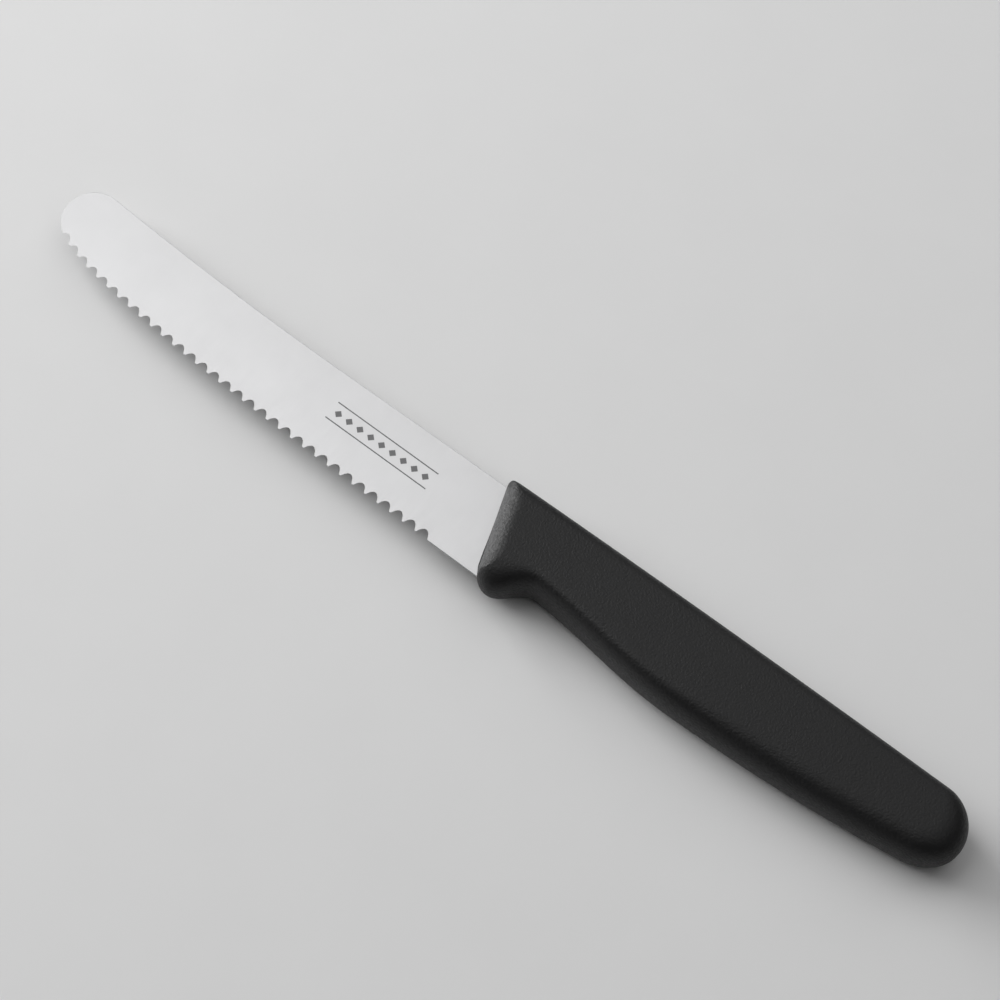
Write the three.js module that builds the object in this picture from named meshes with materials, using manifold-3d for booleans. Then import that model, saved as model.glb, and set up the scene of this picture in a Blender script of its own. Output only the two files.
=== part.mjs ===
// A small slicing knife with a scalloped edge: a stamped steel blade with its tang,
// and a handle moulded round the tang. Millimetres.
// +X runs from the blade's tip to the handle's butt, +Y from the cutting edge to the spine, +Z up.
// The knife lies on the flat side of its handle.
// While it is built, X starts at the tip and Z at the blade's middle.

import * as THREE from 'three';
import { mergeVertices } from 'three/addons/utils/BufferGeometryUtils.js';
import Module from 'manifold-3d';

// Blade
const BLADE_LENGTH = 110.6;        // tip to the handle, along the cutting edge
const HEEL_WIDTH = 17.1;           // spine to edge where the blade enters the handle
const SPINE_Y = 7.15;              // spine at the handle, above the handle's long axis
const SPINE_THICKNESS = 1.2;
const EDGE_THICKNESS = 0.5;        // at the edge, before the scallops are ground
const PLAIN_HEEL = 11.4;           // straight edge between the last scallop and the handle

// Round tip and the long curves of the spine and the edge
const TIP_RADIUS = 6.15;
const TIP_RISE = 1.3;              // how far the tip stands above the spine at the handle
const TIP_ARC_END = 240;           // degrees, where the round tip meets the cutting edge
const SPINE_FALL_ANGLE = 3.4;      // degrees, slope of the spine just behind the tip
const SPINE_TIP_REACH = 45;        // tangent lengths that shape the spine
const SPINE_HEEL_REACH = 40;
const EDGE_TIP_REACH = 2.3;        // tangent lengths that shape the edge
const EDGE_HEEL_REACH = 89;

// Scallops, ground by a round wheel from the underside
const SCALLOP_PITCH = 3;
const SCALLOP_MARGIN = 1.45;       // middle of the first and of the last scallop, inside the ends of the edge
const TIP_SCALLOP_DEPTH = 1.05;    // first scallop, from the unground edge to its bottom on the upper side
const HEEL_SCALLOP_DEPTH = 1.45;   // last scallop
const WHEEL_RADIUS = 1.7;
const WHEEL_ANGLE = 25;            // degrees between the wheel's path and the blade
const WHEEL_LENGTH = 16;

// Tang inside the handle
const TANG_WIDTH = 9;
const TANG_CENTRE_Y = 0.6;
const TANG_END_COVER = 24;         // plastic between the end of the tang and the butt
const TANG_ROOT = 0.7;             // where the full thickness starts, behind the handle's front
const SHOULDER_DEPTH = 1.5;        // how far the blade's shoulder sits behind the handle's front
const LOCK_HOLE_DIAMETER = 4;
const LOCK_HOLE_START = 22;        // first hole, behind the handle's front
const LOCK_HOLE_SPACING = 30;
const LOCK_HOLE_COUNT = 2;
const TANG_CLEARANCE = 0.15;       // between the steel and the plastic round it

// Handle, seen from above
const HANDLE_LENGTH = 101.9;       // front to butt, along the long axis
const FRONT_SLANT = 20.4;          // degrees, the front leans towards the tip at the back
const FRONT_CORNER = 1.5;          // radius of the corner between the front and the back
const BACK_COVER = 1.5;            // plastic above the spine at the front
const BACK_CROWN = 0.3;            // rise of the back's middle above its ends
const GUARD_DROP = 1.5;            // guard below the cutting edge
const GUARD_NOSE_LENGTH = 2.8;     // round nose of the finger guard
const GUARD_NOSE_HEIGHT = 2;
const HOLLOW_WIDTH = 15.2;         // back to the bottom of the finger hollow
const HOLLOW_START = 12.6;         // deepest point of the hollow, behind the front
const HOLLOW_FALL = 2.3;           // degrees, slope of the grip at that point
const BELLY_WIDTH = 18.05;         // back to the lowest point of the grip
const BELLY_START = 43.5;
const BUTT_WIDTH = 14.9;
const BUTT_RISE = 0.35;            // back at the butt above the back at the front
const BUTT_LENGTH = 7.8;           // length of the round end
const BUTT_SLOPE = 8;              // degrees, slope of the grip where it runs into the butt

// Handle's thickness and the rounding of its sides, measured inwards from the outline
const HANDLE_THICKNESS = 11.2;
const FRONT_FACE = 2;              // height of the flat front face
const FRONT_ROUND = 4.6;
const BUTT_ROUND = 6;
const BACK_ROUND = 3;
const GUARD_ROUND = 6.6;
const HOLLOW_ROUND = 3;
const HOLLOW_ROUND_END = 30;       // where the hollow's rounding starts to grow into the grip's
const GRIP_ROUND = 5.4;
const GRIP_ROUND_START = 70;       // where the grip's rounding reaches its full size
const FRONT_FULLNESS = 2;          // 2 is an ellipse, more is fuller
const SIDE_FULLNESS = 2.4;

// Fineness of the curves
const CURVE_STEPS = 24;
const SIDE_STEPS = 12;
const WHEEL_STEPS = 48;
const HALVING_STEPS = 40;

const STEEL_COLOUR = 0xd4d6d8;
const PLASTIC_COLOUR = 0x2b2b2c;

// Places that follow from the sizes
const HEEL_Y = SPINE_Y - HEEL_WIDTH;
const SLANT = Math.tan(THREE.MathUtils.degToRad(FRONT_SLANT));
const FRONT_X = BLADE_LENGTH + SLANT * HEEL_Y;
const BUTT_X = FRONT_X + HANDLE_LENGTH;
const BACK_Y = SPINE_Y + BACK_COVER;
const GUARD_Y = HEEL_Y - GUARD_DROP;
const HALF_HANDLE = HANDLE_THICKNESS / 2;
const TANG_END_X = BUTT_X - TANG_END_COVER;

const wasm = await Module();
wasm.setup();

// Point at a depth behind the handle's slanted front
function behindFront(depth, y) {
  return new THREE.Vector2(FRONT_X + depth - SLANT * y, y);
}

// Closed three.js geometry to a solid that can be cut and joined
function toSolid(geometry) {
  const bare = new THREE.BufferGeometry();
  bare.setAttribute('position', geometry.getAttribute('position'));
  bare.setIndex(geometry.getIndex());
  const merged = mergeVertices(bare, 1e-4);
  const corners = merged.getIndex().array;
  const triVerts = [];
  for (let i = 0; i < corners.length; i += 3) {
    const [a, b, c] = corners.slice(i, i + 3);
    if (a !== b && b !== c && c !== a) triVerts.push(a, b, c);
  }
  return new wasm.Manifold(new wasm.Mesh({
    numProp: 3,
    vertProperties: new Float32Array(merged.getAttribute('position').array),
    triVerts: new Uint32Array(triVerts),
  }));
}

// Solid back to a geometry with flat facets
function toGeometry(solid) {
  const { numProp, vertProperties, triVerts } = solid.getMesh();
  const positions = new Float32Array(triVerts.length * 3);
  triVerts.forEach((vertex, i) => {
    positions.set(vertProperties.subarray(vertex * numProp, vertex * numProp + 3), i * 3);
  });
  const geometry = new THREE.BufferGeometry();
  geometry.setAttribute('position', new THREE.BufferAttribute(positions, 3));
  geometry.computeVertexNormals();
  return geometry;
}

// Plate of a plan outline, whose half thickness depends on Y
function plate(shape, halfThickness) {
  const options = { depth: 1, bevelEnabled: false, curveSegments: CURVE_STEPS };
  const geometry = new THREE.ExtrudeGeometry(shape, options);
  const position = geometry.getAttribute('position');
  for (let i = 0; i < position.count; i += 1) {
    const side = position.getZ(i) > 0.5 ? 1 : -1;
    position.setZ(i, side * halfThickness(position.getY(i)));
  }
  return toSolid(geometry);
}

// The blade is ground flat on both sides, from the full thickness at the spine to a thin edge
function bladeHalfThickness(y) {
  const rise = (y - HEEL_Y) / HEEL_WIDTH;
  return THREE.MathUtils.lerp(EDGE_THICKNESS, SPINE_THICKNESS, rise) / 2;
}

// Cutting edge before the scallops, from the round tip to the plain heel
function edgeCurve() {
  const angle = THREE.MathUtils.degToRad(TIP_ARC_END);
  const start = new THREE.Vector2(
    TIP_RADIUS + TIP_RADIUS * Math.cos(angle),
    SPINE_Y + TIP_RISE - TIP_RADIUS + TIP_RADIUS * Math.sin(angle),
  );
  const end = new THREE.Vector2(BLADE_LENGTH - PLAIN_HEEL, HEEL_Y);
  const leave = new THREE.Vector2(-Math.sin(angle), Math.cos(angle)).multiplyScalar(EDGE_TIP_REACH);
  const arrive = new THREE.Vector2(-EDGE_HEEL_REACH, 0);
  return new THREE.CubicBezierCurve(start, start.clone().add(leave), end.clone().add(arrive), end);
}

// Plan outline of the blade from the tip to its shoulder
function bladeShape() {
  const edge = edgeCurve();
  const spineEnd = behindFront(SHOULDER_DEPTH, SPINE_Y);
  const fall = THREE.MathUtils.degToRad(SPINE_FALL_ANGLE);
  const tipTop = new THREE.Vector2(
    TIP_RADIUS + TIP_RADIUS * Math.sin(fall),
    SPINE_Y + TIP_RISE - TIP_RADIUS + TIP_RADIUS * Math.cos(fall),
  );
  const tipTangent = new THREE.Vector2(Math.cos(fall), -Math.sin(fall)).multiplyScalar(SPINE_TIP_REACH);
  const heelCorner = behindFront(SHOULDER_DEPTH, HEEL_Y);
  const shape = new THREE.Shape();
  shape.moveTo(spineEnd.x, spineEnd.y);
  shape.bezierCurveTo(
    spineEnd.x - SPINE_HEEL_REACH, spineEnd.y,
    tipTop.x + tipTangent.x, tipTop.y + tipTangent.y,
    tipTop.x, tipTop.y,
  );
  shape.absarc(
    TIP_RADIUS, SPINE_Y + TIP_RISE - TIP_RADIUS, TIP_RADIUS,
    Math.PI / 2 - fall, THREE.MathUtils.degToRad(TIP_ARC_END), false,
  );
  shape.bezierCurveTo(edge.v1.x, edge.v1.y, edge.v2.x, edge.v2.y, edge.v3.x, edge.v3.y);
  shape.lineTo(heelCorner.x, heelCorner.y);
  shape.closePath();
  return shape;
}

// Plan outline of the tang, grown on all sides for the pocket that holds it
function tangShape(grow) {
  const half = TANG_WIDTH / 2 + grow;
  const low = behindFront(TANG_ROOT - grow, TANG_CENTRE_Y - half);
  const high = behindFront(TANG_ROOT - grow, TANG_CENTRE_Y + half);
  const endCentre = TANG_END_X - TANG_WIDTH / 2;
  const shape = new THREE.Shape();
  shape.moveTo(low.x, low.y);
  shape.lineTo(endCentre, TANG_CENTRE_Y - half);
  shape.absarc(endCentre, TANG_CENTRE_Y, half, -Math.PI / 2, Math.PI / 2, false);
  shape.lineTo(high.x, high.y);
  shape.closePath();
  for (let i = 0; i < LOCK_HOLE_COUNT; i += 1) {
    const hole = new THREE.Path();
    const x = FRONT_X + LOCK_HOLE_START + i * LOCK_HOLE_SPACING;
    hole.absarc(x, TANG_CENTRE_Y, LOCK_HOLE_DIAMETER / 2 - grow, 0, 2 * Math.PI, true);
    shape.holes.push(hole);
  }
  return shape;
}

// Mouth of the pocket, round the part of the blade that sits inside the handle's front
function mouthShape() {
  const start = -HEEL_WIDTH;
  const spine = SPINE_Y + TANG_CLEARANCE;
  const edge = HEEL_Y - TANG_CLEARANCE;
  const depth = SHOULDER_DEPTH + TANG_CLEARANCE;
  const corners = [
    behindFront(start, edge),
    behindFront(depth, edge),
    behindFront(depth, spine),
    behindFront(start, spine),
  ];
  return new THREE.Shape(corners);
}

// Height of the unground edge at a place along X, found by halving
function edgeHeight(edge, x) {
  let low = 0;
  let high = 1;
  for (let i = 0; i < HALVING_STEPS; i += 1) {
    const middle = (low + high) / 2;
    if (edge.getPoint(middle).x < x) low = middle;
    else high = middle;
  }
  return edge.getPoint(low).y;
}

// One pass of the grinding wheel: a cylinder that slopes down and inwards from the edge
function wheelPass(x, edgeY, depth) {
  const angle = THREE.MathUtils.degToRad(WHEEL_ANGLE);
  const wheel = new THREE.CylinderGeometry(WHEEL_RADIUS, WHEEL_RADIUS, WHEEL_LENGTH, WHEEL_STEPS);
  wheel.rotateX(-angle);
  wheel.translate(x, edgeY + depth - WHEEL_RADIUS / Math.sin(angle), bladeHalfThickness(edgeY));
  return toSolid(wheel);
}

function makeBlade() {
  const edge = edgeCurve();
  const first = edge.v0.x + SCALLOP_MARGIN;
  const run = edge.v3.x - SCALLOP_MARGIN - first;
  const gaps = Math.floor(run / SCALLOP_PITCH);
  let blade = plate(bladeShape(), bladeHalfThickness);
  for (let i = 0; i <= gaps; i += 1) {
    const x = first + (run * i) / gaps;
    const depth = THREE.MathUtils.lerp(TIP_SCALLOP_DEPTH, HEEL_SCALLOP_DEPTH, i / gaps);
    blade = blade.subtract(wheelPass(x, edgeHeight(edge, x), depth));
  }
  const tang = plate(tangShape(0), () => SPINE_THICKNESS / 2);
  return blade.add(tang);
}

// Height of a round end, from 0 at its tip to 1 where it has its full size
function roundedEnd(travel, length) {
  const left = Math.max(1 - travel / length, 0);
  return Math.sqrt(1 - left * left);
}

// Height of the handle's rounding as a share, from 0 at the outline to 1 where the flat face starts
function roundedSide(share, fullness) {
  const left = THREE.MathUtils.clamp(1 - share, 0, 1);
  return (1 - left ** fullness) ** (1 / fullness);
}

// Smooth curve between two heights with given slopes at its ends
function ease(s, from, to) {
  const span = to.s - from.s;
  const t = (s - from.s) / span;
  const rise = (3 - 2 * t) * t * t;
  const startBend = t * (1 - t) * (1 - t) * span * from.slope;
  const endBend = t * t * (t - 1) * span * to.slope;
  return THREE.MathUtils.lerp(from.y, to.y, rise) + startBend + endBend;
}

const buttCentreS = HANDLE_LENGTH - BUTT_LENGTH;
const buttCentreY = BACK_Y + BUTT_RISE - BUTT_WIDTH / 2;
const guard = { s: GUARD_NOSE_LENGTH, y: GUARD_Y, slope: 0 };
const hollow = {
  s: HOLLOW_START,
  y: BACK_Y - HOLLOW_WIDTH,
  slope: -Math.tan(THREE.MathUtils.degToRad(HOLLOW_FALL)),
};
const belly = { s: BELLY_START, y: BACK_Y - BELLY_WIDTH, slope: 0 };
const buttStart = {
  s: buttCentreS,
  y: buttCentreY - BUTT_WIDTH / 2,
  slope: Math.tan(THREE.MathUtils.degToRad(BUTT_SLOPE)),
};

// Back of the handle at a distance behind its front
function backLine(s) {
  const t = s / buttCentreS;
  const corner = FRONT_CORNER * (1 - roundedEnd(s, FRONT_CORNER));
  return BACK_Y + BUTT_RISE * t + BACK_CROWN * 4 * t * (1 - t) - corner;
}

// Lower side of the handle: guard, finger hollow and belly, up to the butt
function gripLine(s) {
  if (s < guard.s) return GUARD_Y + GUARD_NOSE_HEIGHT * (1 - roundedEnd(s, GUARD_NOSE_LENGTH));
  if (s < hollow.s) return ease(s, guard, hollow);
  if (s < belly.s) return ease(s, hollow, belly);
  return ease(s, belly, buttStart);
}

// Half thickness of the handle, rounded off at the front and at the butt
function handleHalfThickness(s) {
  const frontRise = roundedSide(s / FRONT_ROUND, FRONT_FULLNESS);
  const front = THREE.MathUtils.lerp(FRONT_FACE / HANDLE_THICKNESS, 1, frontRise);
  const butt = roundedSide((HANDLE_LENGTH - s) / BUTT_ROUND, SIDE_FULLNESS);
  return HALF_HANDLE * Math.min(front, butt);
}

// Depth of the rounding on the lower side
function gripRound(s) {
  const guardToHollow = THREE.MathUtils.smoothstep(s, GUARD_NOSE_LENGTH, HOLLOW_START);
  const hollowToGrip = THREE.MathUtils.smoothstep(s, HOLLOW_ROUND_END, GRIP_ROUND_START);
  const front = THREE.MathUtils.lerp(GUARD_ROUND, HOLLOW_ROUND, guardToHollow);
  return THREE.MathUtils.lerp(front, GRIP_ROUND, hollowToGrip);
}

// Distances behind the front at which the handle's sections stand, closer together where it turns sharply
function stationsOfHandle() {
  const stations = [];
  const frontSteps = 8;
  const guardSteps = 10;
  const gripSteps = 14;
  const buttSteps = 12;
  for (let i = 0; i < frontSteps; i += 1) {
    stations.push(FRONT_ROUND * (1 - Math.cos((Math.PI / 2) * (i / frontSteps))));
  }
  for (let i = 0; i < guardSteps; i += 1) {
    stations.push(THREE.MathUtils.lerp(FRONT_ROUND, HOLLOW_START, i / guardSteps));
  }
  for (let i = 0; i < gripSteps; i += 1) {
    stations.push(THREE.MathUtils.lerp(HOLLOW_START, buttCentreS, i / gripSteps));
  }
  for (let i = 0; i <= buttSteps; i += 1) {
    stations.push(buttCentreS + BUTT_LENGTH * Math.sin((Math.PI / 2) * (i / buttSteps)));
  }
  return stations;
}

// Lower and upper edge of the handle's section, drawn in by a share of the rounding.
// The round butt is an ellipse that is drawn in on all sides.
function sectionEdges(s, share) {
  if (s <= buttCentreS) {
    return { low: gripLine(s) + gripRound(s) * share, high: backLine(s) - BACK_ROUND * share };
  }
  const travel = s - buttCentreS;
  const reach = Math.min(travel / (BUTT_LENGTH - BUTT_ROUND * share), 1);
  const bow = Math.sqrt(1 - reach * reach);
  const taper = buttStart.slope * travel * (1 - reach);
  return {
    low: buttCentreY - (BUTT_WIDTH / 2 - GRIP_ROUND * share) * bow + taper,
    high: buttCentreY + (BUTT_WIDTH / 2 - BACK_ROUND * share) * bow,
  };
}

// Section of the handle as a ring of points, up the back and down the lower side.
// It leans with the slanted front, less and less towards the butt.
function handleRing(s) {
  const half = handleHalfThickness(s);
  const slant = SLANT * Math.max(1 - s / buttCentreS, 0);
  const back = [];
  const grip = [];
  for (let i = 0; i <= SIDE_STEPS; i += 1) {
    const turn = Math.PI * (i / SIDE_STEPS - 0.5);
    const z = half * Math.sign(turn) * Math.abs(Math.sin(turn)) ** (2 / SIDE_FULLNESS);
    const { low, high } = sectionEdges(s, 1 - roundedSide(1 - Math.abs(z) / HALF_HANDLE, SIDE_FULLNESS));
    back.push(new THREE.Vector3(FRONT_X + s - slant * high, high, z));
    grip.unshift(new THREE.Vector3(FRONT_X + s - slant * low, low, z));
  }
  return [...back, ...grip];
}

// Outer skin of the handle, closed by a flat front face and by the tip of the butt
function handleSkin() {
  const rings = stationsOfHandle().map(handleRing);
  const size = rings[0].length;
  const index = [];
  for (let k = 0; k + 1 < rings.length; k += 1) {
    for (let j = 0; j < size; j += 1) {
      const next = (j + 1) % size;
      const a = k * size + j;
      const b = k * size + next;
      index.push(a, b, b + size, a, b + size, a + size);
    }
  }
  for (let j = 1; j + 1 < size; j += 1) index.push(0, j + 1, j);
  const geometry = new THREE.BufferGeometry().setFromPoints(rings.flat());
  geometry.setIndex(index);
  return toSolid(geometry);
}

function makeHandle() {
  const mouth = plate(mouthShape(), (y) => bladeHalfThickness(y) + TANG_CLEARANCE);
  const pocket = plate(tangShape(TANG_CLEARANCE), () => SPINE_THICKNESS / 2 + TANG_CLEARANCE);
  return handleSkin().subtract(mouth).subtract(pocket);
}

function named(name, solid, material) {
  const mesh = new THREE.Mesh(toGeometry(solid), material);
  mesh.name = name;
  return mesh;
}

const steel = new THREE.MeshStandardMaterial({ color: STEEL_COLOUR, metalness: 1, roughness: 0.35 });
const plastic = new THREE.MeshStandardMaterial({ color: PLASTIC_COLOUR, metalness: 0, roughness: 0.6 });

const knife = new THREE.Group();
knife.add(named('blade', makeBlade(), steel), named('handle', makeHandle(), plastic));

// The origin is under the middle of the knife, on the surface that it lies on
const box = new THREE.Box3().setFromObject(knife);
const middle = box.getCenter(new THREE.Vector3());
knife.position.set(-middle.x, -middle.y, -box.min.z);

export default knife;
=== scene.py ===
"""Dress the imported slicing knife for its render.

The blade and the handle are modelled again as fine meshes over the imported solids. The blade is satin
ground steel with a scalloped edge, and the handle is a black moulding with a fine grain.
"""

import logging
import math
from bisect import bisect_right
from dataclasses import dataclass
from enum import Enum
from itertools import pairwise
from typing import Sequence

import bmesh
import bpy
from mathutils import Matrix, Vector
from mathutils.geometry import interpolate_bezier


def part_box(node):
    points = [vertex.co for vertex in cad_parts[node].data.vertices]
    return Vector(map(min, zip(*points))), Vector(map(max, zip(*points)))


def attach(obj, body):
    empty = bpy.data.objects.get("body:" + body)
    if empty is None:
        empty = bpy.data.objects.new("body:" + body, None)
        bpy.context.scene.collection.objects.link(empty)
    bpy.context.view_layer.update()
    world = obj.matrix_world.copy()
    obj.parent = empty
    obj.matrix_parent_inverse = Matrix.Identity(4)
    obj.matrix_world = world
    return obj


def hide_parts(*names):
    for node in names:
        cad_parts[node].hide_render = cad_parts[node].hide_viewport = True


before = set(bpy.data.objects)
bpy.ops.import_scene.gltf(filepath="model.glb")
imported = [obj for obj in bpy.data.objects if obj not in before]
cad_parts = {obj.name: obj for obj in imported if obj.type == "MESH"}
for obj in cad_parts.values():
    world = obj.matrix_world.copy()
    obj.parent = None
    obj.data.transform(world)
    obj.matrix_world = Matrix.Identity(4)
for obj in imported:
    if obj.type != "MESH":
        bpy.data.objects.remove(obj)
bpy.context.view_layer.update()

LOG = logging.getLogger("slicing_knife")
MM = 0.001
MERGE_DISTANCE = 1e-7
QUARTER_TURN = math.pi / 2


class Slot(Enum):
    """Material slots of the record."""

    STEEL = "steel"
    PLASTIC = "plastic"


@dataclass(frozen=True)
class Datum:
    """Where the knife's own axes lie in the frame.

    The knife is drawn in millimetres, with X from the tip, Y from the handle's long axis and Z from
    the middle of the blade.
    """

    tip_x: float
    axis_y: float
    middle_z: float

    def place(self, x: float, y: float, z: float) -> Vector:
        """Give a point of the knife in the frame.

        Args:
            x: Distance from the tip, in millimetres.
            y: Distance from the handle's long axis, in millimetres.
            z: Distance from the middle of the blade, in millimetres.

        Returns:
            The point, in metres.
        """
        return Vector((self.tip_x + x * MM, self.axis_y + y * MM, self.middle_z + z * MM))


@dataclass(frozen=True)
class Front:
    """Slanted front of the handle, which the blade enters."""

    blade_length: float = 110.6
    heel_y: float = -9.95
    spine_y: float = 7.15
    slant: float = math.tan(math.radians(20.4))

    @property
    def x(self) -> float:
        """Place of the front on the handle's long axis."""
        return self.blade_length + self.slant * self.heel_y

    def behind(self, depth: float, y: float) -> Vector:
        """Give a plan point behind the front.

        Args:
            depth: Distance behind the front, along X.
            y: Height of the point.

        Returns:
            The point, in millimetres.
        """
        return Vector((self.x + depth - self.slant * y, y))


class Outline:
    """Plan curve that runs along X and never turns back."""

    def __init__(self, points: Sequence[Vector]) -> None:
        """Keep the points.

        Args:
            points: Points of the curve in order, in millimetres.
        """
        self.points = list(points)
        self.places = [point.x for point in self.points]

    def at(self, x: float) -> Vector:
        """Give the point at a place along X."""
        i = min(max(bisect_right(self.places, x), 1), len(self.places) - 1)
        share = (x - self.places[i - 1]) / (self.places[i] - self.places[i - 1])
        return self.points[i - 1].lerp(self.points[i], share)


def arc(centre: Vector, radius: float, start: float, end: float, steps: int) -> list[Vector]:
    """Give points on an arc.

    Args:
        centre: Centre of the arc.
        radius: Radius of the arc.
        start: First angle, in degrees.
        end: Last angle, in degrees.
        steps: Number of steps between them.

    Returns:
        The points, with both ends.
    """
    turns = [math.radians(start + (end - start) * i / steps) for i in range(steps + 1)]
    return [centre + radius * Vector((math.cos(turn), math.sin(turn))) for turn in turns]


def curve(start: Vector, leave: Vector, arrive: Vector, end: Vector, steps: int) -> list[Vector]:
    """Give points on a cubic curve.

    Args:
        start: First point.
        leave: Control point of the first end.
        arrive: Control point of the last end.
        end: Last point.
        steps: Number of steps between them.

    Returns:
        The points, with both ends.
    """
    return [point.to_2d() for point in interpolate_bezier(start, leave, arrive, end, steps + 1)]


def smooth_step(value: float, low: float, high: float) -> float:
    """Give how far a value has come between two limits, eased at both.

    Args:
        value: The value.
        low: Limit at which the share is 0.
        high: Limit at which the share is 1.

    Returns:
        The share, from 0 to 1.
    """
    t = min(max((value - low) / (high - low), 0.0), 1.0)
    return t * t * (3 - 2 * t)


def mix(a: float, b: float, share: float) -> float:
    """Give a value between two others.

    Args:
        a: Value at a share of 0.
        b: Value at a share of 1.
        share: How far the value lies from the first one.

    Returns:
        The value.
    """
    return a + (b - a) * share


def skin(name: str, rings: Sequence[Sequence[Vector]]) -> bpy.types.Object:
    """Bend a grid into a closed piece.

    Args:
        name: Name of the piece.
        rings: Rings of points along the piece. Each ring ends at its first point.

    Returns:
        The piece, with open ends filled and faces pointing outwards.
    """
    columns = len(rings) - 1
    rows = len(rings[0]) - 1
    mesh = bmesh.new()
    made = bmesh.ops.create_grid(mesh, x_segments=columns, y_segments=rows, size=1.0)
    for vertex in made["verts"]:
        column = round((vertex.co.x + 1) / 2 * columns)
        row = round((vertex.co.y + 1) / 2 * rows)
        vertex.co = rings[column][row]
    bmesh.ops.remove_doubles(mesh, verts=mesh.verts, dist=MERGE_DISTANCE)
    bmesh.ops.dissolve_degenerate(mesh, edges=mesh.edges, dist=MERGE_DISTANCE)
    bmesh.ops.holes_fill(mesh, edges=mesh.edges, sides=0)
    bmesh.ops.recalc_face_normals(mesh, faces=mesh.faces)
    return finish_mesh(name, mesh)


def finish_mesh(name: str, mesh: bmesh.types.BMesh) -> bpy.types.Object:
    """Turn a bmesh into an object in the scene.

    Args:
        name: Name of the object.
        mesh: The bmesh, which is freed.

    Returns:
        The object.
    """
    data = bpy.data.meshes.new(name)
    mesh.to_mesh(data)
    mesh.free()
    piece = bpy.data.objects.new(name, data)
    bpy.context.scene.collection.objects.link(piece)
    return piece


def shade(piece: bpy.types.Object, crease: float) -> None:
    """Shade a piece smoothly, apart from its sharp edges.

    Args:
        piece: The piece.
        crease: Angle above which an edge is sharp, in degrees.
    """
    piece.data.shade_smooth()
    piece.data.set_sharp_from_angle(angle=math.radians(crease))


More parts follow.
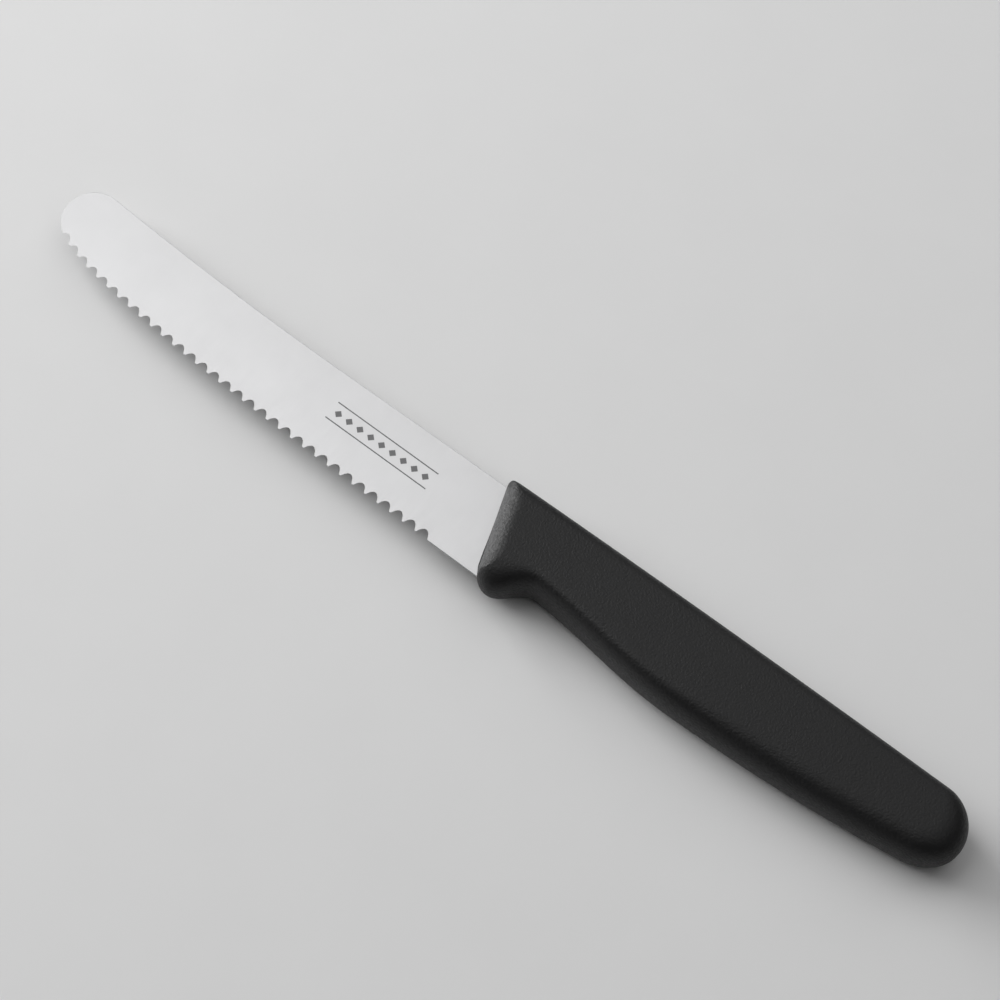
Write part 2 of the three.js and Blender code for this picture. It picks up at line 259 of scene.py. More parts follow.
@dataclass
class Blade:
    """Stamped and ground strip of steel with a round tip and a scalloped edge."""

    front: Front
    datum: Datum
    spine_thickness: float = 1.2
    edge_thickness: float = 0.5
    plain_heel: float = 11.4
    tip_radius: float = 6.15
    tip_rise: float = 1.3
    tip_arc_end: float = 240.0
    spine_fall: float = 3.4
    spine_tip_reach: float = 45.0
    spine_heel_reach: float = 40.0
    edge_tip_reach: float = 2.3
    edge_heel_reach: float = 89.0
    scallop_pitch: float = 3.0
    scallop_margin: float = 1.45
    tip_scallop_depth: float = 1.05
    heel_scallop_depth: float = 1.45
    wheel_radius: float = 1.7
    wheel_angle: float = 25.0
    spine_round: float = 0.05
    spine_round_share: float = 0.25
    shoulder_depth: float = 1.5
    tang_width: float = 9.0
    tang_centre_y: float = 0.6
    tang_end_x: float = 184.8
    curve_steps: int = 400
    tip_steps: int = 20
    scallop_steps: int = 24
    heel_steps: int = 10
    flank_steps: int = 10
    round_steps: int = 3
    crease: float = 15.0

    def __post_init__(self) -> None:
        """Lay out the edge and the spine from the tip to the shoulder."""
        top = self.front.spine_y + self.tip_rise
        centre = Vector((self.tip_radius, top - self.tip_radius))
        low_arc = arc(centre, self.tip_radius, 180, self.tip_arc_end, self.curve_steps)
        high_arc = arc(centre, self.tip_radius, 180, 90 - self.spine_fall, self.curve_steps)
        end_turn = math.radians(self.tip_arc_end)
        leave = Vector((-math.sin(end_turn), math.cos(end_turn))) * self.edge_tip_reach
        heel = Vector((self.front.blade_length - self.plain_heel, self.front.heel_y))
        arrive = heel - Vector((self.edge_heel_reach, 0))
        ground = curve(low_arc[-1], low_arc[-1] + leave, arrive, heel, self.curve_steps)
        heel_corner = self.front.behind(self.shoulder_depth, self.front.heel_y)
        self.edge = Outline([*low_arc, *ground[1:], heel_corner])
        self.ground_x = low_arc[-1].x
        self.heel_x = heel.x
        self.corner_x = heel_corner.x
        fall = math.radians(self.spine_fall)
        run = Vector((math.cos(fall), -math.sin(fall))) * self.spine_tip_reach
        spine_end = self.front.behind(self.shoulder_depth, self.front.spine_y)
        back = spine_end - Vector((self.spine_heel_reach, 0))
        spine = curve(high_arc[-1], high_arc[-1] + run, back, spine_end, self.curve_steps)
        self.spine = Outline([*high_arc, *spine[1:]])
        self.passes = self.wheel_passes()

    @property
    def long_radius(self) -> float:
        """Radius of the wheel's slanted section, across the edge."""
        return self.wheel_radius / math.sin(math.radians(self.wheel_angle))

    def wheel_passes(self) -> list[Vector]:
        """Give the bottom of each scallop in plan, evenly spaced along X."""
        first = self.ground_x + self.scallop_margin
        run = self.heel_x - self.scallop_margin - first
        gaps = math.floor(run / self.scallop_pitch)
        passes = []
        for i in range(gaps + 1):
            bottom = self.edge.at(first + run * i / gaps)
            bottom.y += mix(self.tip_scallop_depth, self.heel_scallop_depth, i / gaps)
            passes.append(bottom)
        return passes

    def half_thickness(self, y: float) -> float:
        """Give half the thickness at a height between the edge and the spine."""
        share = (y - self.front.heel_y) / (self.front.spine_y - self.front.heel_y)
        return mix(self.edge_thickness, self.spine_thickness, share) / 2

    def wheel_depth(self, x: float) -> float:
        """Give how deep the wheel cuts into the upper side of the edge.

        Args:
            x: Place along the blade.

        Returns:
            Depth of the deepest pass, below 0 where the wheel stays outside the edge.
        """
        cuts = [-self.long_radius]
        for bottom in self.passes:
            off = abs(x - bottom.x) / self.wheel_radius
            if off < 1:
                lift = self.long_radius * (1 - math.sqrt(1 - off * off))
                cuts.append(bottom.y - lift - self.edge.at(x).y)
        return max(cuts)

    def stations(self) -> list[float]:
        """Give the places along X at which the rings of the blade stand."""
        turns = [(self.tip_arc_end - 180) * i / self.tip_steps for i in range(self.tip_steps)]
        tip = [self.tip_radius * (1 - math.cos(math.radians(turn))) for turn in turns]
        step = (self.passes[1].x - self.passes[0].x) / self.scallop_steps
        first = self.ground_x + self.scallop_margin % step
        count = math.floor((self.heel_x - first) / step)
        ground = [first + i * step for i in range(count + 1)]
        heel = [mix(self.heel_x, self.corner_x, i / self.heel_steps) for i in range(self.heel_steps + 1)]
        return [*tip, self.ground_x, *ground, *heel]

    def ring(self, x: float) -> list[Vector]:
        """Give the section of the blade at a place along its edge.

        The sections stand square to the blade, and lean with the handle's front over the plain heel.

        Args:
            x: Place along the edge.

        Returns:
            Points up the upper side, round the spine and down the ground underside.
        """
        edge = self.edge.at(x)
        lean = max(x - self.heel_x, 0.0) / (self.corner_x - self.heel_x)
        spine = self.spine.at(min(x, mix(self.heel_x, self.spine.places[-1], lean)))
        height = (spine - edge).length
        wheel = self.wheel_depth(x)
        notch = min(max(wheel, 0.0), height)
        slope = math.tan(math.radians(self.wheel_angle))

        def plan(depth: float) -> Vector:
            """Give the point at a depth behind the edge."""
            return edge.lerp(spine, depth / height if height else 0.0)

        def upper(depth: float) -> Vector:
            """Give a point on the upper side."""
            point = plan(depth)
            return self.datum.place(point.x, point.y, self.half_thickness(point.y))

        def under(depth: float) -> Vector:
            """Give a point on the underside, which the wheel has hollowed."""
            point = plan(depth)
            flank = -self.half_thickness(point.y)
            hollow = self.half_thickness(edge.y) - (depth - wheel) * slope
            return self.datum.place(point.x, point.y, max(flank, hollow))

        rounding = min(self.spine_round, height * self.spine_round_share)
        shoulder = height - rounding
        foot = wheel + 2 * self.half_thickness(edge.y) / slope
        foot = min(max(foot, notch), shoulder)
        steps = self.flank_steps
        ring = [upper(mix(notch, shoulder, (i / steps) ** 2)) for i in range(steps + 1)]
        top = self.half_thickness(spine.y)
        for side in (1, -1):
            turns = [QUARTER_TURN * i / self.round_steps for i in range(self.round_steps + 1)]
            for turn in turns if side > 0 else reversed(turns):
                point = plan(shoulder + rounding * math.sin(turn))
                level = top - rounding * (1 - math.cos(turn))
                ring.append(self.datum.place(point.x, point.y, side * level))
        ring += [under(mix(shoulder, foot, i / steps)) for i in range(steps + 1)]
        ring += [under(notch), ring[0]]
        return ring

    def tang_ring(self, end: bool) -> list[Vector]:
        """Give a section of the tang.

        Args:
            end: Whether the section stands at the far end, and not at the shoulder.

        Returns:
            Points in the order of a ring of the blade.
        """
        shoulder = self.ring(self.corner_x)
        low = shoulder[0].y
        high = max(point.y for point in shoulder)
        ring = []
        for point in shoulder:
            share = (point.y - low) / (high - low)
            y = self.tang_centre_y + self.tang_width * (share - 0.5)
            side = 1 if point.z > self.datum.middle_z else -1
            x = self.tang_end_x if end else self.front.behind(self.shoulder_depth, y).x
            ring.append(self.datum.place(x, y, side * self.spine_thickness / 2))
        return ring

    def build(self) -> bpy.types.Object:
        """Model the blade with its tang."""
        rings = [self.ring(x) for x in self.stations()]
        rings += [self.tang_ring(False), self.tang_ring(True)]
        piece = skin("ground_blade", rings)
        shade(piece, self.crease)
        return piece


@dataclass
class Handle:
    """Moulded handle with a slanted front, a finger guard, a belly and a round butt."""

    front: Front
    datum: Datum
    length: float = 101.9
    thickness: float = 11.2
    front_corner: float = 1.5
    back_cover: float = 1.5
    back_crown: float = 0.3
    guard_drop: float = 1.5
    guard_nose_length: float = 2.8
    guard_nose_height: float = 2.0
    hollow_width: float = 15.2
    hollow_start: float = 12.6
    hollow_fall: float = 2.3
    belly_width: float = 18.05
    belly_start: float = 43.5
    butt_width: float = 14.9
    butt_rise: float = 0.35
    butt_length: float = 7.8
    butt_slope: float = 8.0
    front_face: float = 2.0
    front_round: float = 4.6
    butt_round: float = 6.0
    back_round: float = 3.0
    guard_round: float = 6.6
    hollow_round: float = 3.0
    grip_round: float = 5.4
    hollow_round_end: float = 30.0
    grip_round_start: float = 70.0
    front_fullness: float = 2.0
    side_fullness: float = 2.4
    edge_blend: float = 1.5
    lip_length: float = 0.62
    lip_height: float = 1.4
    lip_growth: float = 3.0
    lip_rounding: float = 12.0
    mouth_clearance: float = 0.15
    mouth_depth: float = 1.6
    front_steps: int = 24
    guard_steps: int = 30
    grip_steps: int = 60
    butt_steps: int = 30
    side_steps: int = 32
    flat_steps: int = 6
    crease: float = 40.0

    @property
    def back_y(self) -> float:
        """Height of the back at the front."""
        return self.front.spine_y + self.back_cover

    @property
    def butt_start(self) -> float:
        """Distance behind the front at which the round butt starts."""
        return self.length - self.butt_length

    @property
    def butt_y(self) -> float:
        """Height of the middle of the butt."""
        return self.back_y + self.butt_rise - self.butt_width / 2

    def rounded(self, share: float, fullness: float) -> float:
        """Give the height of a rounding.

        Args:
            share: How far in the place lies, from 0 at the outline to 1 at the flat face.
            fullness: How full the rounding is, 2 for a round one and more for a fuller one.

        Returns:
            The height, from 0 at the outline to 1 at the flat face.
        """
        left = min(max(1 - share, 0.0), 1.0)
        return (1 - left ** fullness) ** (1 / fullness)

    def drawn_in(self, level: float) -> float:
        """Give how far the rounding has come in at a level, from 0 at the middle to 1."""
        return 1 - self.rounded(1 - level, self.side_fullness)

    def back_line(self, s: float) -> float:
        """Give the height of the back at a distance behind the front."""
        t = s / self.butt_start
        left = max(1 - s / self.front_corner, 0.0)
        corner = self.front_corner * (1 - math.sqrt(1 - left * left))
        return self.back_y + self.butt_rise * t + self.back_crown * 4 * t * (1 - t) - corner

    def grip_line(self, s: float) -> float:
        """Give the height of the lower side at a distance behind the front.

        Args:
            s: Distance behind the front, up to the start of the butt.

        Returns:
            Height of the guard, the finger hollow or the belly.
        """
        guard_y = self.front.heel_y - self.guard_drop
        if s < self.guard_nose_length:
            left = 1 - s / self.guard_nose_length
            return guard_y + self.guard_nose_height * (1 - math.sqrt(1 - left * left))
        hollow_slope = -math.tan(math.radians(self.hollow_fall))
        butt_slope = math.tan(math.radians(self.butt_slope))
        knots = [
            (self.guard_nose_length, guard_y, 0.0),
            (self.hollow_start, self.back_y - self.hollow_width, hollow_slope),
            (self.belly_start, self.back_y - self.belly_width, 0.0),
            (self.butt_start, self.butt_y - self.butt_width / 2, butt_slope),
        ]
        start, end = next((a, b) for a, b in pairwise(knots) if s <= b[0] + MERGE_DISTANCE)
        span = end[0] - start[0]
        t = (s - start[0]) / span
        bend = t * (1 - t) * ((1 - t) * start[2] - t * end[2]) * span
        return mix(start[1], end[1], t * t * (3 - 2 * t)) + bend

    def half_thickness(self, s: float) -> float:
        """Give half the thickness, which is rounded off at the front and at the butt."""
        rise = self.rounded(s / self.front_round, self.front_fullness)
        front = mix(self.front_face / self.thickness, 1.0, rise)
        butt = self.rounded((self.length - s) / self.butt_round, self.side_fullness)
        return self.thickness / 2 * min(front, butt)

    def side_round(self, s: float) -> float:
        """Give the depth of the rounding on the lower side."""
        hollow = smooth_step(s, self.guard_nose_length, self.hollow_start)
        grip = smooth_step(s, self.hollow_round_end, self.grip_round_start)
        return mix(mix(self.guard_round, self.hollow_round, hollow), self.grip_round, grip)

    def edges(self, s: float, z: float) -> tuple[float, float]:
        """Give the lower and the upper end of the section at a height.

        Args:
            s: Distance behind the front.
            z: Height above or below the middle of the handle.

        Returns:
            Lower and upper end.
        """
        half = self.half_thickness(s)
        share = self.drawn_in(min(abs(z) / (self.thickness / 2), 1.0))
        if s <= self.butt_start:
            flat = 1 - half / (self.thickness / 2)
            blend = self.edge_blend * flat * self.drawn_in(min(abs(z) / half, 1.0))
            low = self.grip_line(s) + self.side_round(s) * share + blend
            return low, self.back_line(s) - self.back_round * share - blend
        travel = s - self.butt_start
        reach = min(travel / (self.butt_length - self.butt_round * share), 1.0)
        bow = math.sqrt(1 - reach * reach)
        taper = math.tan(math.radians(self.butt_slope)) * travel * (1 - reach)
        low = self.butt_y - (self.butt_width / 2 - self.grip_round * share) * bow + taper
        return low, self.butt_y + (self.butt_width / 2 - self.back_round * share) * bow

    def stations(self) -> list[float]:
        """Give the distances behind the front at which the rings of the handle stand."""
        places = [
            self.front_round * (1 - math.cos(QUARTER_TURN * i / self.front_steps))
            for i in range(self.front_steps)
        ]
        for start, end, steps in (
            (self.front_round, self.hollow_start, self.guard_steps),
            (self.hollow_start, self.butt_start, self.grip_steps),
        ):
            places += [mix(start, end, i / steps) for i in range(steps)]
        places += [
            self.butt_start + self.butt_length * math.sin(QUARTER_TURN * i / self.butt_steps)
            for i in range(self.butt_steps + 1)
        ]
        return places

    def ring(self, s: float) -> list[Vector]:
        """Give the section of the handle at a distance behind its front.

        Args:
            s: Distance behind the front.

        Returns:
            Points up the back, over the flat top, down the lower side and over the flat underside.
        """
        half = self.half_thickness(s)
        slant = self.front.slant * max(1 - s / self.butt_start, 0.0)
        lean = [math.pi * (i / self.side_steps - 0.5) for i in range(self.side_steps + 1)]
        rises = [abs(math.sin(turn)) ** (2 / self.side_fullness) for turn in lean]
        levels = [math.copysign(half * rise, turn) for rise, turn in zip(rises, lean)]
        low_top, high_top = self.edges(s, half)
        flat = [i / self.flat_steps for i in range(1, self.flat_steps)]
        outline = [(self.edges(s, z)[1], z) for z in levels]
        outline += [(mix(high_top, low_top, share), half) for share in flat]
        outline += [(self.edges(s, z)[0], z) for z in reversed(levels)]
        outline += [(mix(low_top, high_top, share), -half) for share in flat]
        outline.append(outline[0])
        return [self.datum.place(self.front.x + s - slant * y, y, z) for y, z in outline]

    def lip_ring(self, length: float) -> list[Vector]:
        """Give a section of the flat lip before the front.

        The lip grows from nothing at the back, and its end at the guard is round.

        Args:
            length: Scale of how far the section stands before the front.

        Returns:
            Points in the order of a ring of the handle.
        """
        front = self.ring(0.0)
        low = min(point.y for point in front)
        high = max(point.y for point in front)
        ring = []
        for point in front:
            share = (high - point.y) / (high - low)
            reach = length * MM * share ** self.lip_growth * (1 - share ** self.lip_rounding)
            level = (point.z - self.datum.middle_z) * self.lip_height / self.front_face
            ring.append(Vector((point.x - reach, point.y, self.datum.middle_z + level)))
        return ring

    def mouth(self, blade: Blade) -> bpy.types.Object:
        """Model the tool that cuts the mouth for the blade.

        Args:
            blade: The blade that sits in the mouth.

        Returns:
            A slab that follows the blade with a hairline clearance.
        """
        mesh = bmesh.new()
        made = bmesh.ops.create_cube(mesh, size=2.0)
        for vertex in made["verts"]:
            depth = self.mouth_depth if vertex.co.x > 0 else -self.mouth_depth
            limit = self.front.spine_y if vertex.co.y > 0 else self.front.heel_y
            y = limit + math.copysign(self.mouth_clearance, vertex.co.y)
            half = blade.half_thickness(limit) + self.mouth_clearance
            point = self.front.behind(depth, y)
            vertex.co = self.datum.place(point.x, point.y, math.copysign(half, vertex.co.z))
        bmesh.ops.recalc_face_normals(mesh, faces=mesh.faces)
        return finish_mesh("mouth_tool", mesh)

    def build(self, blade: Blade) -> bpy.types.Object:
        """Model the handle and cut the mouth for the blade.

        Args:
            blade: The blade that sits in the mouth.

        Returns:
            The moulded handle.
        """
        lip = [self.lip_ring(self.lip_length), self.lip_ring(0.0)]
        piece = skin("moulded_handle", [*lip, *map(self.ring, self.stations())])
        tool = self.mouth(blade)
        cut = piece.modifiers.new("mouth", "BOOLEAN")
        cut.operation = "DIFFERENCE"
        cut.solver = "EXACT"
        cut.object = tool
        graph = bpy.context.evaluated_depsgraph_get()
        carved = bpy.data.meshes.new_from_object(piece.evaluated_get(graph))
        piece.modifiers.clear()
        piece.data = carved
        bpy.data.objects.remove(tool)
        shade(piece, self.crease)
        return piece


class NodeBench:
    """Adds and joins the nodes of one tree."""

    def __init__(self, tree: bpy.types.NodeTree) -> None:
        """Start with an empty tree.

        Args:
            tree: Tree of a material, a world or a node group.
        """
        self.tree = tree
        tree.nodes.clear()

    def add(self, kind: str, inputs: dict | None = None, **settings: object) -> bpy.types.Node:
        """Add a node.

        Args:
            kind: Type name of the node.
            inputs: Values or sockets for its inputs, by name or number.
            settings: Properties of the node.

        Returns:
            The node.
        """
        node = self.tree.nodes.new(kind)
        for key, value in settings.items():
            setattr(node, key, value)
        for key, value in (inputs or {}).items():
            if isinstance(value, bpy.types.NodeSocket):
                self.tree.links.new(value, node.inputs[key])
            else:
                node.inputs[key].default_value = value
        return node

    def math(self, operation: str, *values: object) -> bpy.types.NodeSocket:
        """Add a math node.

        Args:
            operation: What the node does.
            values: Values or sockets for its inputs, in order.

        Returns:
            The result.
        """
        return self.add("ShaderNodeMath", dict(enumerate(values)), operation=operation).outputs[0]

    def blend(self, share: bpy.types.NodeSocket, a: object, b: object) -> bpy.types.NodeSocket:
        """Mix two colours.

        Args:
            share: Share of the second colour.
            a: First colour.
            b: Second colour.

        Returns:
            The mixed colour.
        """
        first, second, result = 6, 7, 2
        node = self.add("ShaderNodeMix", {0: share, first: a, second: b}, data_type="RGBA")
        return node.outputs[result]

    def span(self, value: bpy.types.NodeSocket, low: float, high: float) -> bpy.types.NodeSocket:
        """Stretch the middle of a noise to a range.

        Args:
            value: The noise.
            low: Start of the range.
            high: End of the range.

        Returns:
            The stretched noise.
        """
        noise_low, noise_high = 0.3, 0.7
        limits = {"From Min": noise_low, "From Max": noise_high, "To Min": low, "To Max": high}
        return self.add("ShaderNodeMapRange", {"Value": value, **limits}).outputs[0]

    def close(self, **inputs: object) -> None:
        """Add the surface shader and join it to the output.

        Args:
            inputs: Values or sockets for its inputs, whose names have underscores for spaces.
        """
        named = {name.replace("_", " "): value for name, value in inputs.items()}
        shader = self.add("ShaderNodeBsdfPrincipled", named)
        self.add("ShaderNodeOutputMaterial", {"Surface": shader.outputs[0]})


def grain_group() -> bpy.types.NodeTree:
    """Make the shared grain: a fine noise over a slow, cloudy one.

    Returns:
        A group with the inputs Vector, Stretch, Fine Scale and Cloud Scale, and the outputs Fine and
        Cloud.
    """
    tree = bpy.data.node_groups.new("surface_grain", "ShaderNodeTree")
    for name, kind in (
        ("Vector", "NodeSocketVector"),
        ("Stretch", "NodeSocketVector"),
        ("Fine Scale", "NodeSocketFloat"),
        ("Cloud Scale", "NodeSocketFloat"),
    ):
        tree.interface.new_socket(name, in_out="INPUT", socket_type=kind)
    for name in ("Fine", "Cloud"):
        tree.interface.new_socket(name, in_out="OUTPUT", socket_type="NodeSocketFloat")
    bench = NodeBench(tree)
    given = bench.add("NodeGroupInput").outputs
    pulled = bench.add(
        "ShaderNodeVectorMath", {0: given["Vector"], 1: given["Stretch"]}, operation="MULTIPLY"
    )
    fine = bench.add(
        "ShaderNodeTexNoise",
        {"Vector": pulled.outputs[0], "Scale": given["Fine Scale"], "Detail": 2.0, "Roughness": 0.6},
    )
    cloud = bench.add(
        "ShaderNodeTexNoise",
        {"Vector": given["Vector"], "Scale": given["Cloud Scale"], "Detail": 4.0, "Roughness": 0.55},
    )
    bench.add("NodeGroupOutput", {"Fine": fine.outputs["Fac"], "Cloud": cloud.outputs["Fac"]})
    return tree


@dataclass(frozen=True)
class Finish:
    """What every finish has: a name, the shared grain and the scales at which it lies."""

    grain: bpy.types.NodeTree
    name: str
    fine_scale: float
    cloud_scale: float
    stretch: tuple = (1.0, 1.0, 1.0)

    def start(self) -> tuple[bpy.types.Material, NodeBench, bpy.types.Node, bpy.types.Node]:
        """Start the material.

        Returns:
            The material, its bench, its coordinates and its grain.
        """
        material = bpy.data.materials.new(self.name)
        material.use_nodes = True
        bench = NodeBench(material.node_tree)
        place = bench.add("ShaderNodeTexCoord")
        scales = {
            "Vector": place.outputs["Object"],
            "Stretch": self.stretch,
            "Fine Scale": self.fine_scale,
            "Cloud Scale": self.cloud_scale,
        }
        texture = bench.add("ShaderNodeGroup", scales, node_tree=self.grain)
        return material, bench, place, texture


@dataclass(frozen=True)
class SatinSteel(Finish):
    """Ground stainless steel with fine lines across the blade and a plain etched border."""

    name: str = "satin_steel"
    fine_scale: float = 9000.0
    cloud_scale: float = 90.0
    stretch: tuple = (1.0, 0.02, 0.2)
    bright: tuple = (0.525, 0.525, 0.53, 1.0)
    dull: tuple = (0.475, 0.475, 0.48, 1.0)
    smooth: float = 0.3
    rough: float = 0.4
    line_height: float = 0.000002
    line_strength: float = 0.5
    etched: tuple = (0.16, 0.16, 0.163, 1.0)
    etched_rough: float = 0.6
    border_centre: tuple = (80.5, -0.4)
    border_half: float = 12.0
    rule_offset: float = 1.9
    rule_half: float = 0.12
    lozenge_pitch: float = 2.6
    lozenge_half: tuple = (0.85, 0.8)

    def border(self, bench: NodeBench, place: bpy.types.Node, datum: Datum) -> bpy.types.NodeSocket:
        """Draw the etched border: a row of lozenges between two rules, on the upper side.

        Args:
            bench: The material's bench.
            place: The material's coordinates.
            datum: Where the knife lies.

        Returns:
            Mask that is 1 on the border.
        """
        centre = datum.place(*self.border_centre, 0.0)
        local = bench.add(
            "ShaderNodeMapping",
            {"Vector": place.outputs["Object"], "Location": -centre / MM, "Scale": [1 / MM] * 3},
        )
        axes = bench.add("ShaderNodeSeparateXYZ", {0: local.outputs[0]}).outputs
        across = bench.math("ABSOLUTE", axes["Y"])
        rules = bench.math("COMPARE", across, self.rule_offset, self.rule_half)
        wave = bench.math("PINGPONG", axes["X"], self.lozenge_pitch / 2)
        length_share = bench.math("DIVIDE", wave, self.lozenge_half[0])
        width_share = bench.math("DIVIDE", across, self.lozenge_half[1])
        lozenges = bench.math("LESS_THAN", bench.math("ADD", length_share, width_share), 1.0)
        inside = bench.math("LESS_THAN", bench.math("ABSOLUTE", axes["X"]), self.border_half)
        upper = bench.math("GREATER_THAN", axes["Z"], 0.0)
        drawn = bench.math("MAXIMUM", rules, lozenges)
        return bench.math("MULTIPLY", drawn, bench.math("MULTIPLY", inside, upper))

    def material(self, datum: Datum) -> bpy.types.Material:
        """Make the steel.

        Args:
            datum: Where the knife lies.

        Returns:
            The material.
        """
        material, bench, place, texture = self.start()
        fine = texture.outputs["Fine"]
        mask = self.border(bench, place, datum)
        steel = bench.blend(texture.outputs["Cloud"], self.bright, self.dull)
        satin = bench.span(fine, self.smooth, self.rough)
        bump = bench.add(
            "ShaderNodeBump",
            {"Height": fine, "Distance": self.line_height, "Strength": self.line_strength},
        )
        bench.close(
            Base_Color=bench.blend(mask, steel, self.etched),
            Roughness=bench.math("MAXIMUM", satin, bench.math("MULTIPLY", mask, self.etched_rough)),
            Metallic=1.0,
            Normal=bump.outputs[0],
        )
        return material


@dataclass(frozen=True)
class GrainedPlastic(Finish):
    """Matte black moulding with a fine eroded grain."""

    name: str = "grained_plastic"
    fine_scale: float = 2400.0
    cloud_scale: float = 70.0
    deep: tuple = (0.0085, 0.0085, 0.0088, 1.0)
    pale: tuple = (0.0115, 0.0115, 0.0118, 1.0)
    smooth: float = 0.4
    rough: float = 0.6
    gloss: float = 0.3
    grain_height: float = 0.00018
    grain_strength: float = 0.7

    def material(self) -> bpy.types.Material:
        """Make the plastic."""
        material, bench, _, texture = self.start()
        fine = texture.outputs["Fine"]
        bump = bench.add(
            "ShaderNodeBump",
            {"Height": fine, "Distance": self.grain_height, "Strength": self.grain_strength},
        )
        bench.close(
            Base_Color=bench.blend(texture.outputs["Cloud"], self.deep, self.pale),
            Roughness=bench.span(fine, self.smooth, self.rough),
            Specular_IOR_Level=self.gloss,
            Normal=bump.outputs[0],
        )
        return material


@dataclass(frozen=True)
class PaleFloor(Finish):
    """Plain pale card, very faintly mottled."""

    name: str = "pale_floor"
    fine_scale: float = 1500.0
    cloud_scale: float = 45.0
    pale: tuple = (0.735, 0.735, 0.735, 1.0)
    shaded: tuple = (0.705, 0.705, 0.705, 1.0)
    smooth: float = 0.85
    rough: float = 0.95
    gloss: float = 0.2

    def material(self) -> bpy.types.Material:
        """Make the card."""
        material, bench, _, texture = self.start()
        bench.close(
            Base_Color=bench.blend(texture.outputs["Cloud"], self.pale, self.shaded),
            Roughness=bench.span(texture.outputs["Fine"], self.smooth, self.rough),
            Specular_IOR_Level=self.gloss,
        )
        return material


@dataclass(frozen=True)
class Softbox:
    """Square soft lamp that faces the knife, with degrees, metres and watts."""

    name: str
    azimuth: float
    elevation: float
    distance: float
    size: float
    power: float

    def hang(self) -> bpy.types.Object:
        """Hang the lamp in the scene and give it back."""
        data = bpy.data.lights.new(self.name, "AREA")
        data.shape = "SQUARE"
        data.size = self.size
        data.energy = self.power
        lamp = bpy.data.objects.new(self.name, data)
        way = direction(self.azimuth, self.elevation)
        lamp.location = way * self.distance
        lamp.rotation_euler = way.to_track_quat("Z", "Y").to_euler()
        lamp.visible_camera = False
        bpy.context.scene.collection.objects.link(lamp)
        return lamp


def direction(azimuth: float, elevation: float) -> Vector:
    """Give a unit vector.

    Args:
        azimuth: Angle from +X, in degrees.
        elevation: Angle above the floor, in degrees.

    Returns:
        The vector.
    """
    turn = math.radians(azimuth)
    tilt = math.radians(elevation)
    flat = math.cos(tilt)
    return Vector((math.cos(turn) * flat, math.sin(turn) * flat, math.sin(tilt)))


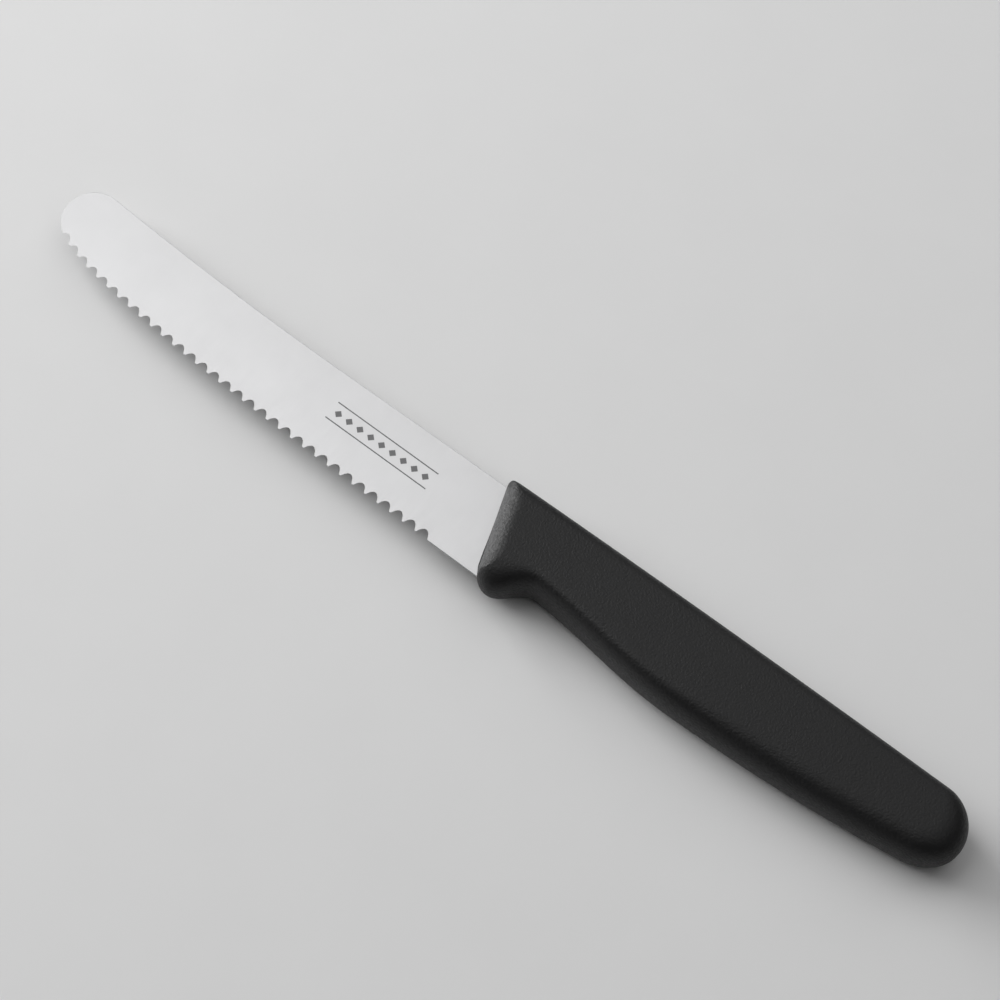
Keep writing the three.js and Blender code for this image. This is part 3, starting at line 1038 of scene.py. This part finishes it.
@dataclass(frozen=True)
class Studio:
    """Pale floor, soft light mostly from the tip's side, a low card for the blade, and the camera."""

    grain: bpy.types.NodeTree
    floor_size: float = 12.0
    fill: float = 0.004
    softboxes: tuple = (
        Softbox("low_tip_light", 180, 15, 1.3, 1.0, 26.5),
        Softbox("high_tip_light", 180, 58, 1.0, 0.8, 3.45),
        Softbox("back_light", 90, 45, 1.2, 1.0, 2.9),
        Softbox("butt_light", 0, 60, 1.0, 0.8, 1.1),
        Softbox("top_light", 0, 90, 1.0, 0.8, 0.6),
    )
    card: Softbox = Softbox("blade_card", 300, 15, 1.3, 2.0, 6.0)
    camera_azimuth: float = -51.69
    camera_elevation: float = 65.4
    camera_distance: float = 0.4898
    lens: float = 95.98
    sensor: float = 36.0
    clip_start: float = 0.01
    target: tuple = (0.00027, 0.00558, 0.0061)

    def lay_floor(self) -> None:
        """Lay the floor that the knife lies on."""
        mesh = bmesh.new()
        bmesh.ops.create_grid(mesh, x_segments=1, y_segments=1, size=self.floor_size / 2)
        floor = finish_mesh("floor", mesh)
        floor.data.materials.append(PaleFloor(self.grain).material())

    def light(self) -> None:
        """Hang the lamps and set the faint fill."""
        world = bpy.data.worlds.new("faint_fill")
        world.use_nodes = True
        bpy.context.scene.world = world
        bench = NodeBench(world.node_tree)
        white = (1.0, 1.0, 1.0, 1.0)
        background = bench.add("ShaderNodeBackground", {"Color": white, "Strength": self.fill})
        bench.add("ShaderNodeOutputWorld", {"Surface": background.outputs[0]})
        for softbox in self.softboxes:
            softbox.hang()

    def hang_card(self, blade: bpy.types.Object) -> None:
        """Hang the low card that only the blade mirrors, so that it isn't black from behind.

        Args:
            blade: The modelled blade.
        """
        lit = bpy.data.collections.new("lit_by_card")
        lit.objects.link(blade)
        self.card.hang().light_linking.receiver_collection = lit

    def set_camera(self) -> None:
        """Set the camera at the photograph's viewing angle."""
        back = direction(self.camera_azimuth, self.camera_elevation)
        data = bpy.data.cameras.new("camera")
        data.lens = self.lens
        data.sensor_width = self.sensor
        data.clip_start = self.clip_start
        camera = bpy.data.objects.new("camera", data)
        camera.location = Vector(self.target) + back * self.camera_distance
        camera.rotation_euler = back.to_track_quat("Z", "Y").to_euler()
        bpy.context.scene.collection.objects.link(camera)
        bpy.context.scene.camera = camera

    def set_up(self) -> None:
        """Set up the floor, the soft light and the camera."""
        bpy.context.scene.view_settings.view_transform = "Standard"
        self.lay_floor()
        self.light()
        self.set_camera()


def find_datum(front: Front) -> Datum:
    """Find the knife's axes in the frame from the boxes of its solids.

    Args:
        front: The handle's front.

    Returns:
        Place of the tip, the handle's long axis and the blade's middle.
    """
    blade_low, blade_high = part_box("blade")
    handle_low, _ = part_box("handle")
    guard_y = front.heel_y - Handle.guard_drop
    return Datum(blade_low.x, handle_low.y - guard_y * MM, (blade_low.z + blade_high.z) / 2)


def dress(piece: bpy.types.Object, node: str, material: bpy.types.Material) -> None:
    """Give a piece its finish and let it stand for its solid.

    Args:
        piece: The modelled piece.
        node: The solid that it stands for.
        material: The finish.
    """
    piece.data.materials.clear()
    piece.data.materials.append(material)
    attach(piece, "root")
    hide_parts(node)
    LOG.info("%s: %d faces", piece.name, len(piece.data.polygons))


def main() -> None:
    """Build the knife and the studio round it."""
    logging.basicConfig(level=logging.INFO, format="%(name)s: %(message)s")
    grain = grain_group()
    studio = Studio(grain)
    studio.set_up()
    front = Front()
    datum = find_datum(front)
    blade = Blade(front, datum)
    ground_blade = blade.build()
    dress(ground_blade, "blade", SatinSteel(grain).material(datum))
    studio.hang_card(ground_blade)
    handle = Handle(front, datum)
    dress(handle.build(blade), "handle", GrainedPlastic(grain).material())


if __name__ == "__main__":
    main()
